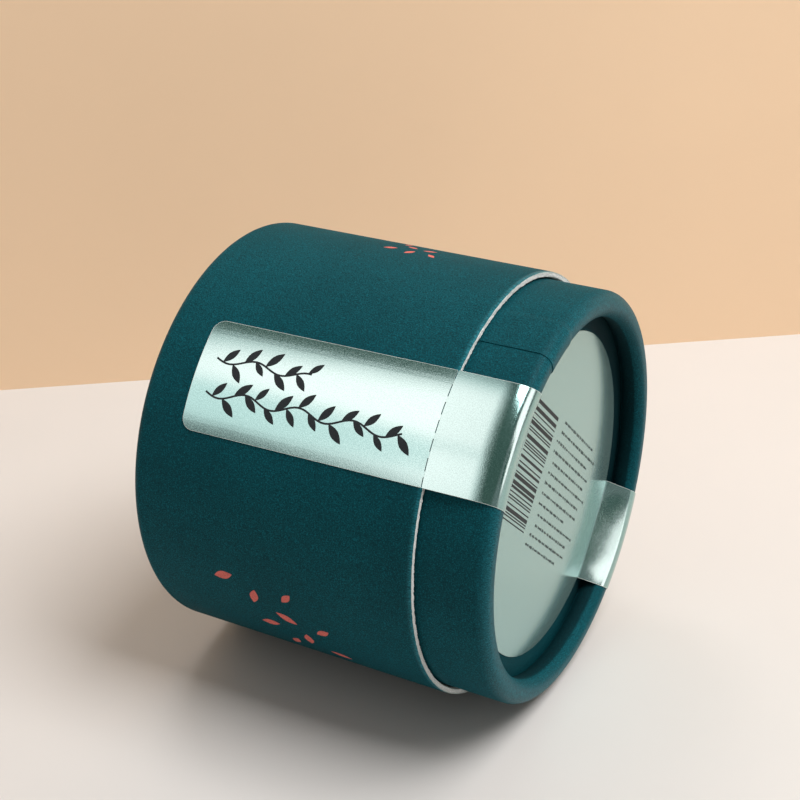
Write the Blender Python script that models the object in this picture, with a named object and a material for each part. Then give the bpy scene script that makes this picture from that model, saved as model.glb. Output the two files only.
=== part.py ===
"""Round paper tube box in two halves, lying on its side.

A long cover slides over a full-height base and leaves a short band of the base in view. Both
halves are a wound board tube with a printed wrap outside and a paper liner inside. The wrap and
the board are rolled in together at the closed end, and the rolled rim traps a recessed end disc.
A die-cut foil seal runs along the cover, over the joint and the rim, across the recessed end and
over the far side of the rim. It parts at the perforation when the cover is pulled off.

The tube's axis runs along X, with the base's closed end at +X. The origin is under the middle of
the tube, on the surface that it lies on.
"""

import math
from collections import namedtuple

import bmesh
import bpy
from mathutils import Matrix, Vector

# Walls, from the bore of the base outwards
BASE_BORE_RADIUS = 0.0420
BASE_LINER = 0.0002
BASE_BOARD = 0.0010
COVER_LINER = 0.0002
COVER_BOARD = 0.0009
WRAP = 0.00015
GLUE_LINE = 0.00003
SLIDING_FIT = 0.0003

# Lengths along the axis
COVER_LENGTH = 0.0644
BASE_REVEAL = 0.01445
BASE_RECESS = 0.00535
COVER_RECESS = 0.0052
MOUTH_GAP = 0.0003

# Rolled rims: two bends with a flat crest between them, then a leg whose tip is tucked back
# towards the wall. The first two bends are those on the board's inner side, the tuck's is the skin's.
CURL_OUTER_BEND = 0.0014
CURL_CREST_FLAT = 0.0008
CURL_INNER_BEND = 0.0008
CURL_TUCK_RADIUS = 0.0026
CURL_TUCK_ANGLE = math.radians(50)
LEG_GAP = 0.0001

# End discs
END_BOARD = 0.0015
END_FACING = 0.00015
END_LINING = 0.00015
DISC_FIT = 0.0001

# Lap seams of the wraps, as angles above the horizontal on the -Y side
LAP_WIDTH = 0.0088
BASE_SEAM_ANGLE = math.radians(66)
COVER_SEAM_ANGLE = math.radians(150)

# Foil seal
SEAL_ANGLE = math.radians(40)
SEAL_WIDTH = 0.0229
SEAL_THICKNESS = 0.00012
SEAL_LIFT = 0.00008
PANEL_LENGTH = 0.0527
PANEL_CORNER_RADIUS = 0.0025
PERFORATION_OVER_COVER = 0.0006
PERFORATION_CUT = 0.0002
BAND_PAST_EDGE = 0.0003
END_LABEL_RADIUS = 0.0343
TAB_DROP = 0.0075

# Facets
FACETS = 64
CURL_FACETS = 3
TUCK_FACETS = 1
SEAL_COLUMNS = 6
SEAL_INNER_BEND_FACETS = 2
LABEL_ARC_FACETS = 18
CORNER_FACETS = 4

STEP_ANGLE = 2 * math.pi / FACETS
LAP_RISE = WRAP + GLUE_LINE

# A half of the tube: toward is +1 where the closed end is at the tube's positive end, else -1
Half = namedtuple("Half", "skin_radius board liner_outside crest_z mouth_z toward recess")

base_skin_radius = BASE_BORE_RADIUS + BASE_LINER + GLUE_LINE + BASE_BOARD + GLUE_LINE + WRAP
cover_bore_radius = base_skin_radius + SLIDING_FIT
cover_skin_radius = cover_bore_radius + COVER_LINER + GLUE_LINE + COVER_BOARD + GLUE_LINE + WRAP
end_stack = END_FACING + GLUE_LINE + END_BOARD + GLUE_LINE + END_LINING
cover_end_inside_z = -COVER_LENGTH + COVER_RECESS + end_stack

BASE = Half(
    skin_radius=base_skin_radius,
    board=BASE_BOARD,
    liner_outside=BASE_BORE_RADIUS + BASE_LINER,
    crest_z=BASE_REVEAL,
    mouth_z=cover_end_inside_z + MOUTH_GAP,
    toward=1,
    recess=BASE_RECESS,
)
COVER = Half(
    skin_radius=cover_skin_radius,
    board=COVER_BOARD,
    liner_outside=cover_bore_radius + COVER_LINER,
    crest_z=-COVER_LENGTH,
    mouth_z=0.0,
    toward=-1,
    recess=COVER_RECESS,
)

cover_reach = COVER_LENGTH + LAP_RISE
base_reach = BASE_REVEAL + max(LAP_RISE, SEAL_LIFT + SEAL_THICKNESS)
JOINT_X = (cover_reach - base_reach) / 2
AXIS_HEIGHT = cover_skin_radius * math.cos(STEP_ANGLE / 2)


def around(angle_above_horizontal):
    """The angle about the tube's own axis of a direction given above the horizontal on the -Y side."""
    return 1.5 * math.pi - angle_above_horizontal


def nearest_facet_edge(angle):
    return (round(angle / STEP_ANGLE - 0.5) + 0.5) * STEP_ANGLE


def turned(radius, height, angle):
    return Vector((radius * math.cos(angle), radius * math.sin(angle), height))


def outer_bend(half):
    """The skin's radius at the rolled rim's outer bend."""
    return CURL_OUTER_BEND + half.board + GLUE_LINE + WRAP


def inner_bend(half):
    """The skin's radius at the rolled rim's inner bend."""
    return CURL_INNER_BEND + half.board + GLUE_LINE + WRAP


def throat_radius(half):
    """The radius of the leg's face, where the rolled rim comes nearest to the tube's axis."""
    return half.skin_radius - outer_bend(half) - CURL_CREST_FLAT - inner_bend(half)


def disc_face_z(half):
    return half.crest_z - half.toward * half.recess


def bend_points(half, centre, depth, radius, turn, facets):
    """(radius, height) points of a bend whose centre lies at that depth under the crest.

    turn holds the first and last angle: 0 looks away from the tube's axis, a quarter turn looks
    out of the closed end.
    """
    first, last = turn
    angles = [first + (last - first) * i / facets for i in range(facets + 1)]
    return [
        (
            centre + radius * math.cos(angle),
            half.crest_z + half.toward * (radius * math.sin(angle) - depth),
        )
        for angle in angles
    ]


def rim_line(half, inset, mouth_z, leg_depth):
    """(radius, height) points from the mouth over the rolled rim to the end of its leg.

    The line lies inset under the wrap's skin, and a negative inset lies outside it. The skin's leg
    ends at leg_depth under the crest, and so does a line that lies outside it.
    """
    outer, inner = outer_bend(half), inner_bend(half)
    tuck_reach = (CURL_TUCK_RADIUS - min(inset, 0.0)) * math.sin(CURL_TUCK_ANGLE)
    throat = throat_radius(half)
    return [
        (half.skin_radius - inset, mouth_z),
        *bend_points(
            half, half.skin_radius - outer, outer, outer - inset, (0, math.pi / 2), CURL_FACETS
        ),
        *bend_points(
            half, throat + inner, inner, inner - inset, (math.pi / 2, math.pi), CURL_FACETS
        ),
        *bend_points(
            half,
            throat + CURL_TUCK_RADIUS,
            leg_depth - tuck_reach,
            CURL_TUCK_RADIUS - inset,
            (math.pi, math.pi + CURL_TUCK_ANGLE),
            TUCK_FACETS,
        ),
    ]


def wall_outline(half, inset, thickness):
    """The closed outline of one ply that is rolled in with the rim."""
    leg_depth = half.recess - LEG_GAP
    outside = rim_line(half, inset, half.mouth_z, leg_depth)
    inside = rim_line(half, inset + thickness, half.mouth_z, leg_depth)
    return outside + inside[::-1]


def material(name, colour, roughness, metallic=0.0):
    made = bpy.data.materials.new(name)
    made.use_nodes = True
    shader = made.node_tree.nodes["Principled BSDF"]
    shader.inputs["Base Color"].default_value = (*colour, 1.0)
    shader.inputs["Roughness"].default_value = roughness
    shader.inputs["Metallic"].default_value = metallic
    made.diffuse_color = (*colour, 1.0)
    return made


def empty_on_axis(name):
    """An empty at the joint, whose Z axis is the tube's axis."""
    empty = bpy.data.objects.new(name, None)
    empty.empty_display_size = BASE_BORE_RADIUS
    empty.location = (JOINT_X, 0.0, AXIS_HEIGHT)
    empty.rotation_euler = (0.0, math.pi / 2, 0.0)
    bpy.context.scene.collection.objects.link(empty)
    return empty


def finish(name, bm, parent, finish_material, sharp_angle=math.radians(40)):
    """Turns a bmesh into a smooth-shaded object on its half's axis."""
    mesh = bpy.data.meshes.new(name)
    bm.to_mesh(mesh)
    bm.free()
    mesh.shade_smooth()
    mesh.set_sharp_from_angle(angle=sharp_angle)
    mesh.materials.append(finish_material)
    made = bpy.data.objects.new(name, mesh)
    made.parent = parent
    bpy.context.scene.collection.objects.link(made)
    return made


def revolve(outline):
    """A full turn of a closed (radius, height) outline about the tube's axis."""
    bm = bmesh.new()
    start = nearest_facet_edge(0.0)
    corners = [bm.verts.new(turned(radius, height, start)) for radius, height in outline]
    edges = [bm.edges.new((a, b)) for a, b in zip(corners, corners[1:] + corners[:1])]
    bmesh.ops.spin(
        bm,
        geom=corners + edges,
        cent=(0, 0, 0),
        axis=(0, 0, 1),
        angle=2 * math.pi,
        steps=FACETS,
        use_merge=True,
    )
    bmesh.ops.recalc_face_normals(bm, faces=bm.faces)
    return bm


def rolled_sheet(half, seam_angle):
    """The wrap: a sheet that goes once round the tube and laps over its own start."""
    lap_facets = max(1, round(LAP_WIDTH / (half.skin_radius * STEP_ANGLE)))
    start = nearest_facet_edge(around(seam_angle)) - lap_facets * STEP_ANGLE
    bm = bmesh.new()
    loops = []
    for station in range(FACETS + lap_facets + 1):
        rise = LAP_RISE if station >= FACETS else 0.0
        outline = wall_outline(half, -rise, WRAP)
        angle = start + station * STEP_ANGLE
        loops.append([bm.verts.new(turned(radius, height, angle)) for radius, height in outline])
    for near, far in zip(loops, loops[1:]):
        for i in range(len(near)):
            bm.faces.new((near[i - 1], near[i], far[i], far[i - 1]))
    bm.faces.new(loops[0])
    bm.faces.new(loops[-1])
    bmesh.ops.recalc_face_normals(bm, faces=bm.faces)
    return bm


def disc(radius, low_z, thickness):
    """A flat round piece whose facets line up with the tube's."""
    bm = bmesh.new()
    bmesh.ops.create_circle(
        bm,
        cap_ends=True,
        segments=FACETS,
        radius=radius,
        matrix=Matrix.Translation((0, 0, low_z)) @ Matrix.Rotation(STEP_ANGLE / 2, 4, "Z"),
    )
    raised = bmesh.ops.extrude_face_region(bm, geom=bm.faces[:], use_keep_orig=True)
    moved = [item for item in raised["geom"] if isinstance(item, bmesh.types.BMVert)]
    bmesh.ops.translate(bm, verts=moved, vec=(0, 0, thickness))
    bmesh.ops.recalc_face_normals(bm, faces=bm.faces)
    return bm


def tube_half(prefix, half, liner_thickness, seam_angle, axis, finishes):
    """Board tube, wrap, liner and the three layers of the end, all on one axis."""
    board_inset = WRAP + GLUE_LINE
    finish(prefix + "_wrap", rolled_sheet(half, seam_angle), axis, finishes["wrap"])
    finish(
        prefix + "_board_tube",
        revolve(wall_outline(half, board_inset, half.board)),
        axis,
        finishes["board"],
    )

    facing_z = disc_face_z(half)
    board_z = facing_z - half.toward * (END_FACING + GLUE_LINE)
    lining_z = board_z - half.toward * (END_BOARD + GLUE_LINE)
    disc_radius = half.liner_outside + GLUE_LINE - DISC_FIT
    layers = (
        ("_end_facing", facing_z, END_FACING, "wrap"),
        ("_end_disc", board_z, END_BOARD, "board"),
        ("_end_lining", lining_z, END_LINING, "liner"),
    )
    for suffix, outer_z, thickness, look in layers:
        low_z = min(outer_z, outer_z - half.toward * thickness)
        finish(prefix + suffix, disc(disc_radius, low_z, thickness), axis, finishes[look])

    liner_end_z = lining_z - half.toward * (END_LINING + GLUE_LINE)
    bore = half.liner_outside - liner_thickness
    liner_outline = [
        (half.liner_outside, half.mouth_z),
        (half.liner_outside, liner_end_z),
        (bore, liner_end_z),
        (bore, half.mouth_z),
    ]
    finish(prefix + "_liner", revolve(liner_outline), axis, finishes["liner"])


def across_seal():
    return [SEAL_WIDTH * (i / SEAL_COLUMNS - 0.5) for i in range(SEAL_COLUMNS + 1)]


def seal_place(radius, height, across, side=1):
    """A point of the seal: straight-sided along its length, round with what it is stuck to."""
    along = side * math.sqrt(radius**2 - across**2)
    return Matrix.Rotation(around(SEAL_ANGLE), 3, "Z") @ Vector((along, across, height))


def add_thickness(sheet):
    """Gives a sheet of the seal its thickness, away from what it is stuck to."""
    solid = sheet.modifiers.new("thickness", "SOLIDIFY")
    solid.thickness = SEAL_THICKNESS
    solid.offset = 1.0
    solid.use_even_offset = True


def seal_panel(axis, foil):
    """The seal's panel on the cover: a long sheet with two rounded corners, bent to the cover."""
    bm = bmesh.new()
    near_z = -PERFORATION_OVER_COVER - PERFORATION_CUT
    far_z = near_z - PANEL_LENGTH
    rows = [[bm.verts.new((across, z, 0)) for across in across_seal()] for z in (far_z, near_z)]
    for i in range(SEAL_COLUMNS):
        bm.faces.new((rows[0][i], rows[0][i + 1], rows[1][i + 1], rows[1][i]))
    bmesh.ops.bevel(
        bm,
        geom=[rows[0][0], rows[0][-1]],
        affect="VERTICES",
        offset=PANEL_CORNER_RADIUS,
        offset_type="OFFSET",
        segments=CORNER_FACETS,
        profile=0.5,
        material=-1,
    )
    for vert in bm.verts:
        vert.co = seal_place(COVER.skin_radius + SEAL_LIFT, vert.co.y, vert.co.x)
    add_thickness(finish("seal_panel", bm, axis, foil))


def seal_rows(bm, line, side):
    """Rows of vertices across the seal at each (radius, height) of a line."""
    return [
        [bm.verts.new(seal_place(radius, height, across, side)) for across in across_seal()]
        for radius, height in line
    ]


def taut_over_rim(label_edge):
    """(radius, height) points from the outer bend over the crest to where the seal leaves the rim.

    From there it runs straight down to the label's edge on the recessed end.
    """
    outer, inner = outer_bend(BASE), inner_bend(BASE)
    bend = inner + SEAL_LIFT
    centre = throat_radius(BASE) + inner
    run = centre - label_edge[0]
    rise = BASE.crest_z - inner - label_edge[1]
    leaves = math.pi / 2 + math.atan2(rise, run) + math.asin(bend / math.hypot(run, rise))
    return [
        *bend_points(
            BASE,
            BASE.skin_radius - outer,
            outer,
            outer + SEAL_LIFT,
            (0, math.pi / 2),
            CURL_FACETS,
        ),
        *bend_points(
            BASE, centre, inner, bend, (math.pi / 2, leaves), SEAL_INNER_BEND_FACETS
        ),
    ]


def seal_end_label(axis, foil):
    """Band over the joint and the rim, round label on the recessed end, and the tab opposite."""
    lifted_end_z = disc_face_z(BASE) + SEAL_LIFT
    label_edge = (END_LABEL_RADIUS, lifted_end_z)
    over_rim = taut_over_rim(label_edge)
    cover_level = COVER.skin_radius + SEAL_LIFT
    base_level = BASE.skin_radius + SEAL_LIFT
    band_line = [
        (cover_level, -PERFORATION_OVER_COVER),
        (cover_level, BAND_PAST_EDGE),
        *over_rim,
        label_edge,
    ]
    tab_line = [(base_level, BASE.crest_z - TAB_DROP), *over_rim, label_edge]

    bm = bmesh.new()
    band = seal_rows(bm, band_line, side=1)
    tab = seal_rows(bm, tab_line, side=-1)
    for rows in (band, tab):
        turn = 1 if rows is band else -1
        for outer, inner in zip(rows, rows[1:]):
            for i in range(SEAL_COLUMNS):
                bm.faces.new((outer[i], outer[i + 1], inner[i + 1], inner[i])[::turn])

    half_gap = math.asin(SEAL_WIDTH / 2 / END_LABEL_RADIUS)
    sweep = math.pi - 2 * half_gap
    turn_to_seal = Matrix.Rotation(around(SEAL_ANGLE), 3, "Z")

    def free_edge(start):
        """The round label's edge between the band and the tab, without its two ends."""
        angles = [start + sweep * i / LABEL_ARC_FACETS for i in range(1, LABEL_ARC_FACETS)]
        return [
            bm.verts.new(turn_to_seal @ turned(END_LABEL_RADIUS, lifted_end_z, angle))
            for angle in angles
        ]

    outline = band[-1] + free_edge(half_gap) + tab[-1][::-1] + free_edge(math.pi + half_gap)
    bm.faces.new(outline)
    add_thickness(finish("seal_end_label", bm, axis, foil))


def clear_scene():
    for old in list(bpy.data.objects):
        bpy.data.objects.remove(old, do_unlink=True)


def build():
    clear_scene()
    teal = (0.006, 0.075, 0.088)
    paper_white = (0.72, 0.70, 0.64)
    finishes = {
        "wrap": material("teal_paper", teal, 0.72),
        "board": material("white_board", (0.66, 0.62, 0.53), 0.9),
        "liner": material("white_liner", paper_white, 0.8),
    }
    foil = material("mint_foil", (0.62, 0.78, 0.71), 0.28, metallic=1.0)

    base_axis = empty_on_axis("base_axis")
    cover_axis = empty_on_axis("cover_axis")
    tube_half("base", BASE, BASE_LINER, BASE_SEAM_ANGLE, base_axis, finishes)
    tube_half("cover", COVER, COVER_LINER, COVER_SEAM_ANGLE, cover_axis, finishes)
    seal_end_label(base_axis, foil)
    seal_panel(cover_axis, foil)


build()
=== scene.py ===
"""Dresses the round paper tube box: wrap papers, boards, linings, foil seal, print and stage.

Shapes are worked out in the tube's own frame, where the axis is Z, the cover's cut edge lies at
zero and the base's closed end is at the positive end. They are then laid down along X.
"""

import math
import random
from collections import namedtuple

import bmesh
import bpy
from bpy.props import FloatProperty, FloatVectorProperty, PointerProperty
from mathutils import Matrix, Vector, noise


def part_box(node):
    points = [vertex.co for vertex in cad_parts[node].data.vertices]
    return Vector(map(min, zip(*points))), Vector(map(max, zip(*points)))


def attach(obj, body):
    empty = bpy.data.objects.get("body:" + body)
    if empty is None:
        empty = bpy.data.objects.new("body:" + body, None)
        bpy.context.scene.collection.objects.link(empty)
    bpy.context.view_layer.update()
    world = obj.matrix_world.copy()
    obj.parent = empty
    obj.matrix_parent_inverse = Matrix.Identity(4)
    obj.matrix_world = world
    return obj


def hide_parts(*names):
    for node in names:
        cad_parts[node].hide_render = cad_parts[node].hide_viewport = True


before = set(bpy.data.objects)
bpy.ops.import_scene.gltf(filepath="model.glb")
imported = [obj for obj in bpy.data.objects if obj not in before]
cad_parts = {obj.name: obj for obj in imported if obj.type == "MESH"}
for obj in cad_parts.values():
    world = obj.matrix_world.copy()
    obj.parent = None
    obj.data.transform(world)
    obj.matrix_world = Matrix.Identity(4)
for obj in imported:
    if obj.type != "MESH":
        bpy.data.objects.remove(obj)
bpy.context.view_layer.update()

bl_info = {
    "name": "Round Paper Tube Box",
    "version": (1, 0, 0),
    "blender": (4, 5, 0),
    "location": "View3D > Sidebar > Tube Box",
    "description": "Papers, boards, foil seal and print of a round two-part tube box",
    "category": "Object",
}


# Sizes and colours


def lowest_x(node):
    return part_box(node)[0].x


def highest_x(node):
    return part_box(node)[1].x


def half_height(node):
    low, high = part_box(node)
    return (high.z - low.z) / 2


def length(name, description, default):
    """A length that the sidebar shows in the scene's unit."""
    return FloatProperty(
        name=name, description=description, default=default, unit="LENGTH", precision=5
    )


def turn(name, description, degrees):
    return FloatProperty(
        name=name, description=description, default=math.radians(degrees), subtype="ANGLE"
    )


def colour(name, description, default):
    return FloatVectorProperty(
        name=name, description=description, default=default,
        size=3, min=0.0, max=1.0, subtype="COLOR",
    )


def power(name, description, default):
    return FloatProperty(name=name, description=description, default=default, subtype="POWER")


# From a board's face to the outside of its paper, 0.15 mm of paper on 0.03 mm of glue
WRAP_AND_GLUE = 0.00018
LINER = 0.0002


class TubeSizes(bpy.types.PropertyGroup):
    """Lengths of the two halves; the defaults are the CAD model's own"""

    joint_x: length("Joint", "Place of the cover's cut edge along X", highest_x("cover_board_tube"))
    axis_height: length(
        "Axis height",
        "Height of the tube's axis over the floor",
        sum(corner.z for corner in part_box("cover_board_tube")) / 2,
    )
    cover_radius: length(
        "Cover radius",
        "Radius of the cover's paper",
        half_height("cover_board_tube") + WRAP_AND_GLUE,
    )
    base_radius: length(
        "Base radius",
        "Radius of the base's paper",
        half_height("base_board_tube") + WRAP_AND_GLUE,
    )
    cover_liner_bore: length(
        "Cover bore", "Bore of the cover's liner", half_height("cover_liner") - LINER
    )
    base_liner_bore: length(
        "Base bore", "Bore of the base's liner", half_height("base_liner") - LINER
    )
    cover_board: length("Cover board", "Thickness of the cover's board", 0.0009)
    base_board: length("Base board", "Thickness of the base's board", 0.0010)
    liner: length("Liner", "Thickness of the liners", LINER)
    liner_back: length("Liner set back", "How far the liners end inside the mouths", 0.0004)
    wrap: length("Wrap", "Thickness of the wrap papers", 0.00015)
    crest_flat: length("Crest flat", "Width of the flat on the rolled rims", 0.0008)
    outer_bend: length("Outer bend", "Inside radius of the rim's outer bend", 0.0014)
    inner_bend: length("Inner bend", "Inside radius of the rim's inner bend", 0.0008)
    tuck_radius: length("Tuck radius", "Radius over which the rim's leg tucks back", 0.0026)
    tuck_angle: turn("Tuck angle", "How far the rim's leg tucks back", 50)
    lap: length("Lap", "How far a wrap laps over its own start", 0.0088)
    base_seam: turn("Base seam", "Angle of the base's lap above the horizontal", 66)
    cover_seam: turn("Cover seam", "Angle of the cover's lap above the horizontal", 150)


class SealSizes(bpy.types.PropertyGroup):
    """Lengths of the die-cut foil seal"""

    angle: turn("Place", "Angle of the seal above the horizontal", 40)
    width: length("Width", "Width of the panel, band and tab", 0.0229)
    thickness: length("Thickness", "Thickness of the foil and its paper", 0.00012)
    lift: length("Lift", "Adhesive under the foil", 0.00008)
    panel: length("Panel", "Length of the panel on the cover", 0.0532)
    corner: length("Corner", "Radius of the rounded corners", 0.0025)
    over_cover: length("Over the cover", "Band on the cover before the perforation", 0.0001)
    cut: length("Cut", "Width of the perforation's cuts", 0.0002)
    cut_length: length("Cut length", "Length of one cut of the perforation", 0.0025)
    tie_length: length("Tie length", "Length of paper between two cuts", 0.0011)
    label_radius: length("End label", "Radius of the round label", 0.0343)
    fold: length("Fold", "Distance of the folds from the label's middle", 0.0330)
    tab_drop: length("Tab", "How far the tab reaches down the base", 0.0075)
    bow: length("Bow", "How far the tab stands out between the label and the rim", 0.0001)


class FinishColours(bpy.types.PropertyGroup):
    """Colours of the papers, foil and inks"""

    teal: colour("Teal", "Wrap paper", (0.0022, 0.069, 0.087))
    # Lighter teal for rubbed ink, which on the rims' outer bends is also a painted highlight
    teal_rubbed_and_lit: colour("Rubbed teal", "Wrap paper where it is rubbed", (0.04, 0.31, 0.38))
    paper_core: colour("Paper core", "Cut edge of a printed paper", (0.84, 0.93, 0.89))
    board: colour("Board", "Raw wound board", (0.92, 0.95, 0.90))
    liner: colour("Liner", "Lining paper", (0.74, 0.71, 0.64))
    foil: colour("Foil", "Mint foil", (0.305, 0.49, 0.472))
    charcoal: colour("Charcoal", "Dark ink on the foil", (0.018, 0.024, 0.027))
    coral: colour("Coral", "Coral ink on the wrap", (0.66, 0.155, 0.13))


class StageSizes(bpy.types.PropertyGroup):
    """Floor, backdrop, lamps and camera"""

    floor: colour("Floor", "Colour of the floor", (0.69, 0.67, 0.65))
    wall: colour("Backdrop", "Colour of the backdrop", (0.94, 0.68, 0.45))
    lens: FloatProperty(
        name="Lens",
        description="Focal length on a 36 mm sensor",
        default=68.66,
        subtype="DISTANCE_CAMERA",
    )
    key: power("Key lamp", "Power of the large soft lamp", 7.4)
    back: power("Back lamp", "Power of the smaller lamp", 0.8)
    room: FloatProperty(name="Room light", description="Strength of the even light", default=0.32)


def tube():
    return bpy.context.scene.tube_box_tube


def seal():
    return bpy.context.scene.tube_box_seal


def colours():
    return bpy.context.scene.tube_box_colours


# A half of the tube. skin is the radius of its paper, toward is +1 or -1, the side of its closed
# end, face is where its end facing lies, and outer and inner are the radii of its rim's two bends.
Half = namedtuple("Half", "skin board toward mouth crest face outer inner seam")


def tube_half(name):
    sizes = tube()
    cover = name == "cover"
    board = sizes.cover_board if cover else sizes.base_board
    board_tube = name + "_board_tube"
    facing = name + "_end_facing"
    if cover:
        toward, crest = -1, lowest_x(board_tube) - WRAP_AND_GLUE
        mouth, face = highest_x(board_tube), lowest_x(facing)
    else:
        toward, crest = 1, highest_x(board_tube) + WRAP_AND_GLUE
        mouth, face = lowest_x(board_tube), highest_x(facing)
    return Half(
        skin=sizes.cover_radius if cover else sizes.base_radius,
        board=board,
        toward=toward,
        mouth=mouth - sizes.joint_x,
        crest=crest - sizes.joint_x,
        face=face - sizes.joint_x,
        outer=sizes.outer_bend + board + WRAP_AND_GLUE,
        inner=sizes.inner_bend + board + WRAP_AND_GLUE,
        seam=sizes.cover_seam if cover else sizes.base_seam,
    )


def throat(half):
    """Radius of the leg's face, where the rim comes nearest to the axis."""
    return half.skin - half.outer - tube().crest_flat - half.inner


# Shapes shared by the pieces


def around(angle_above_horizontal):
    """Angle about the axis of a direction given above the horizontal on the -Y side."""
    return 1.5 * math.pi - angle_above_horizontal


def laid_down():
    """From the tube's own frame to the floor."""
    sizes = tube()
    return Matrix.Translation((sizes.joint_x, 0, sizes.axis_height)) @ Matrix.Rotation(
        math.pi / 2, 4, "Y"
    )


def turned(radius, along, angle):
    return Vector((radius * math.cos(angle), radius * math.sin(angle), along))


def ease(share):
    share = min(max(share, 0.0), 1.0)
    return share * share * (3 - 2 * share)


def wander(point, size, reach):
    """A smooth random shift of up to about reach, with bumps of that size."""
    return reach * noise.noise(Vector(point) / size)


# Gap between the end of a rim's leg and the end facing
LEG_GAP = 0.0001
# Points nearer than this are one
MERGE = 1e-7


def arc(half, centre, depth, radius, first, last, steps):
    """(radius, along) points of a bend whose centre lies that deep under the crest."""
    angles = [first + (last - first) * i / steps for i in range(steps + 1)]
    return [
        (centre + radius * math.cos(a), half.crest + half.toward * (radius * math.sin(a) - depth))
        for a in angles
    ]


def rim_line(half, inset, steps, straight):
    """(radius, along) points from the mouth over the rolled rim to the end of its leg.

    straight holds the distances from the mouth at which the wall gets a point.
    """
    sizes = tube()
    leg_depth = abs(half.crest - half.face) - LEG_GAP
    start = throat(half)
    tuck_reach = (sizes.tuck_radius - min(inset, 0.0)) * math.sin(sizes.tuck_angle)
    wall = [(half.skin - inset, half.mouth + half.toward * d) for d in straight]
    return [
        *wall,
        *arc(half, half.skin - half.outer, half.outer, half.outer - inset, 0, math.pi / 2, steps),
        *arc(half, start + half.inner, half.inner, half.inner - inset, math.pi / 2, math.pi, steps),
        *arc(
            half,
            start + sizes.tuck_radius,
            leg_depth - tuck_reach,
            sizes.tuck_radius - inset,
            math.pi,
            math.pi + sizes.tuck_angle,
            max(3, steps // 2),
        ),
    ]


def grid(bm, columns, rows):
    """Adds a flat grid and returns its vertices by (column, row)."""
    bmesh.ops.create_grid(bm, x_segments=columns, y_segments=rows, size=1)
    places = {}
    for vert in bm.verts:
        column = round((vert.co.x + 1) / 2 * columns)
        row = round((vert.co.y + 1) / 2 * rows)
        places[column, row] = vert
    return places


def finish(name, bm, body, nodes, finishes):
    """Lays a shape down on the floor as a piece that rides on its half of the tube."""
    bm.transform(laid_down())
    mesh = bpy.data.meshes.new(name)
    bm.to_mesh(mesh)
    bm.free()
    piece = bpy.data.objects.new(name, mesh)
    bpy.context.scene.collection.objects.link(piece)
    for material in finishes:
        mesh.materials.append(material)
    smooth(mesh)
    if nodes:
        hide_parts(*nodes)
    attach(piece, body)
    return piece


def smooth(mesh):
    """Smooth shading, with edges over 35 degrees kept sharp."""
    mesh.shade_smooth()
    mesh.set_sharp_from_angle(angle=math.radians(35))


def thicken(piece, thickness, offset):
    """Gives a sheet its thickness; its cut edges take the second material."""
    solid = piece.modifiers.new("thickness", "SOLIDIFY")
    solid.thickness = thickness
    solid.offset = offset
    solid.material_offset_rim = 1
    depsgraph = bpy.context.evaluated_depsgraph_get()
    made = bpy.data.meshes.new_from_object(piece.evaluated_get(depsgraph))
    piece.modifiers.clear()
    sheet = piece.data
    piece.data = made
    made.name = piece.name
    bpy.data.meshes.remove(sheet)
    smooth(made)


def face_outwards(bm, away_from_axis=True):
    """Turns an open sheet so that its faces look away from the tube's axis or its middle."""
    bmesh.ops.recalc_face_normals(bm, faces=bm.faces)
    bm.normal_update()
    balance = 0.0
    for face in bm.faces:
        centre = face.calc_center_median()
        out = Vector((centre.x, centre.y, 0.0)) if away_from_axis else Vector((0.0, 0.0, centre.z))
        balance += face.normal.dot(out) * face.calc_area()
    if balance < 0:
        bmesh.ops.reverse_faces(bm, faces=bm.faces)


# Finishes


class Nodes:
    """A node tree while it is put together."""

    def __init__(self, tree):
        self.tree = tree

    def add(self, kind, inputs=(), **settings):
        node = self.tree.nodes.new("ShaderNode" + kind)
        for name, value in settings.items():
            setattr(node, name, value)
        for name, value in dict(inputs).items():
            self.give(node.inputs[name], value)
        return node

    def give(self, socket, value):
        if isinstance(value, bpy.types.NodeSocket):
            self.tree.links.new(value, socket)
        else:
            socket.default_value = value

    def speckle(self, place, scale, detail=2.0, roughness=0.55):
        values = {"Vector": place, "Scale": scale, "Detail": detail, "Roughness": roughness}
        return self.add("TexNoise", values).outputs["Fac"]

    def spread(self, value, low, high, to_low=0.0, to_high=1.0):
        """Takes a value from one range to another by a smooth step."""
        values = {
            "Value": value, "From Min": low, "From Max": high, "To Min": to_low, "To Max": to_high
        }
        return self.add("MapRange", values, interpolation_type="SMOOTHSTEP").outputs["Result"]

    def maths(self, kind, *values):
        node = self.add("Math", operation=kind)
        for socket, value in zip(node.inputs, values):
            self.give(socket, value)
        return node.outputs[0]

    def vector(self, kind, *values):
        node = self.add("VectorMath", operation=kind)
        for socket, value in zip(node.inputs, values):
            self.give(socket, value)
        return node

    def along(self, place, direction):
        """How far a place lies along a direction."""
        return self.vector("DOT_PRODUCT", place, direction).outputs["Value"]

    def mix(self, share, first, second):
        node = self.add("Mix", data_type="RGBA")
        for index, value in ((0, share), (6, first), (7, second)):
            if not isinstance(value, (bpy.types.NodeSocket, float)):
                value = (*value, 1.0)
            self.give(node.inputs[index], value)
        return node.outputs[2]


# Where the end paper meets the rim's leg, as distances from the axis, and how far to the back
# the painted shade grows there
CORNER, SHADE_TOWARD_BACK = (0.0338, 0.0352), (0.004, 0.024)


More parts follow.
